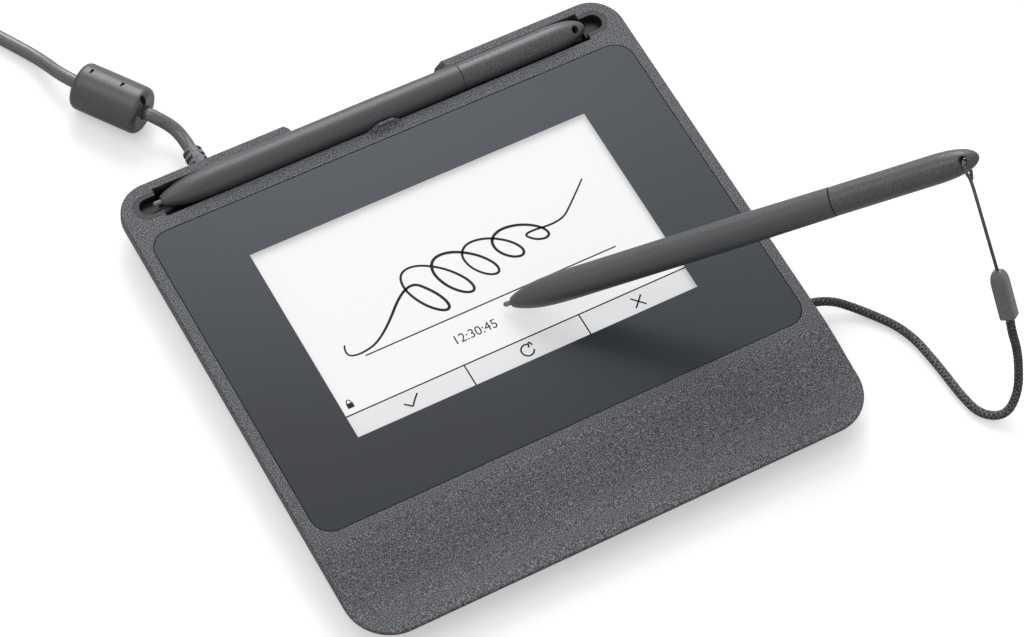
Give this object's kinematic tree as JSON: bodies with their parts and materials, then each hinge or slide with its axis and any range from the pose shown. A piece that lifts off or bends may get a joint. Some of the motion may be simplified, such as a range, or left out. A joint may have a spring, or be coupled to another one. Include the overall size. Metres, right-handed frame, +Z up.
{
  "type": "signature pad",
  "caption": "Flat counter signature pad with a glass-covered screen, a rear pen tray holding a spare pen, a tethered pen, and a data cable with a ferrite and plug.",
  "frame": {"origin": "on the table, under the middle of the case", "axes": "+Z up, +Y to the rear of the pad where the pen tray and the cable are, +X to the user's right"},
  "size_m": [0.2837, 0.3295, 0.0798],
  "materials": {
    "cover": "fine grain",
    "case_base": "fine grain",
    "liner": "smooth",
    "glass": "polished",
    "mask": "printed film",
    "display": "smooth",
    "sheet_steel": "bright",
    "shield": "satin",
    "circuit_board": "coated",
    "chips": "moulded",
    "connectors": "moulded",
    "flex": "film",
    "feet": "matt",
    "cable": "satin",
    "ferrite_case": "satin",
    "ferrite": "sintered",
    "plug_metal": "plated",
    "plug_tongue": "moulded",
    "contacts": "plated",
    "braid": "braided",
    "tether_fittings": "satin",
    "pen": "satin",
    "nib": "smooth",
    "pen_inside": "moulded"
  },
  "bodies": {
    "pad": {"top_cover": "cover", "bottom_cover": "case_base", "pen_tray_liner": "liner", "cover_glass": "glass", "glass_adhesive": "mask", "window_mask": "mask", "lcd_panel": "display", "backlight_unit": "display", "lcd_frame": "sheet_steel", "sensor_board": "circuit_board", "shield_plate": "shield", "main_board": "circuit_board", "board_chips": "chips", "board_connectors": "connectors", "lcd_flex": "flex", "sensor_flex": "flex", "rubber_feet": "feet", "case_screws": "sheet_steel", "board_screws": "sheet_steel", "strain_relief": "cable", "usb_inner_lead": "cable", "usb_cable": "cable", "usb_cable_coil": "cable", "usb_cable_end": "cable", "ferrite_shell_lower": "ferrite_case", "ferrite_core_lower": "ferrite", "usb_plug_overmould": "cable", "usb_plug_shell": "plug_metal", "usb_plug_tongue": "plug_tongue", "usb_plug_contacts": "contacts", "tether_anchor": "tether_fittings", "tether_cord": "braid"},
    "ferrite_lid": {"ferrite_shell_upper": "ferrite_case", "ferrite_core_upper": "ferrite"},
    "writing_pen": {"writing_pen_front_barrel": "pen", "writing_pen_rear_barrel": "pen", "writing_pen_coil_core": "ferrite", "writing_pen_coil": "contacts", "writing_pen_sensor": "pen_inside", "writing_pen_board": "circuit_board", "writing_pen_chassis": "pen_inside", "tether_lock": "tether_fittings", "tether_loop": "braid"},
    "writing_nib": {"writing_pen_nib": "nib"},
    "spare_pen": {"spare_pen_front_barrel": "pen", "spare_pen_rear_barrel": "pen", "spare_pen_coil_core": "ferrite", "spare_pen_coil": "contacts", "spare_pen_sensor": "pen_inside", "spare_pen_board": "circuit_board", "spare_pen_chassis": "pen_inside"},
    "spare_nib": {"spare_pen_nib": "nib"}
  },
  "joints": [
    {"name": "writing_pen_lift", "type": "slide", "parent": "pad", "child": "writing_pen", "axis": [0, 0, 1], "range_m": [0, 0.03], "deforming": ["tether_cord"]},
    {"name": "writing_pen_nib_press", "type": "slide", "parent": "writing_pen", "child": "writing_nib", "axis": [0.8118, -0.3439, 0.4719], "range_m": [0, 0.0004], "stiffness_N_per_m": 500},
    {"name": "spare_pen_lift", "type": "slide", "parent": "pad", "child": "spare_pen", "axis": [0, 0, 1], "range_m": [0, 0.04]},
    {"name": "spare_pen_nib_press", "type": "slide", "parent": "spare_pen", "child": "spare_nib", "axis": [1, 0, 0], "range_m": [0, 0.0004], "stiffness_N_per_m": 500},
    {"name": "ferrite_open", "type": "hinge", "parent": "pad", "child": "ferrite_lid", "pos_m": [-0.05818, 0.11415, 0.00754], "axis": [-0.5658, 0.823, -0.0509], "range_deg": [0, 100]}
  ]
}
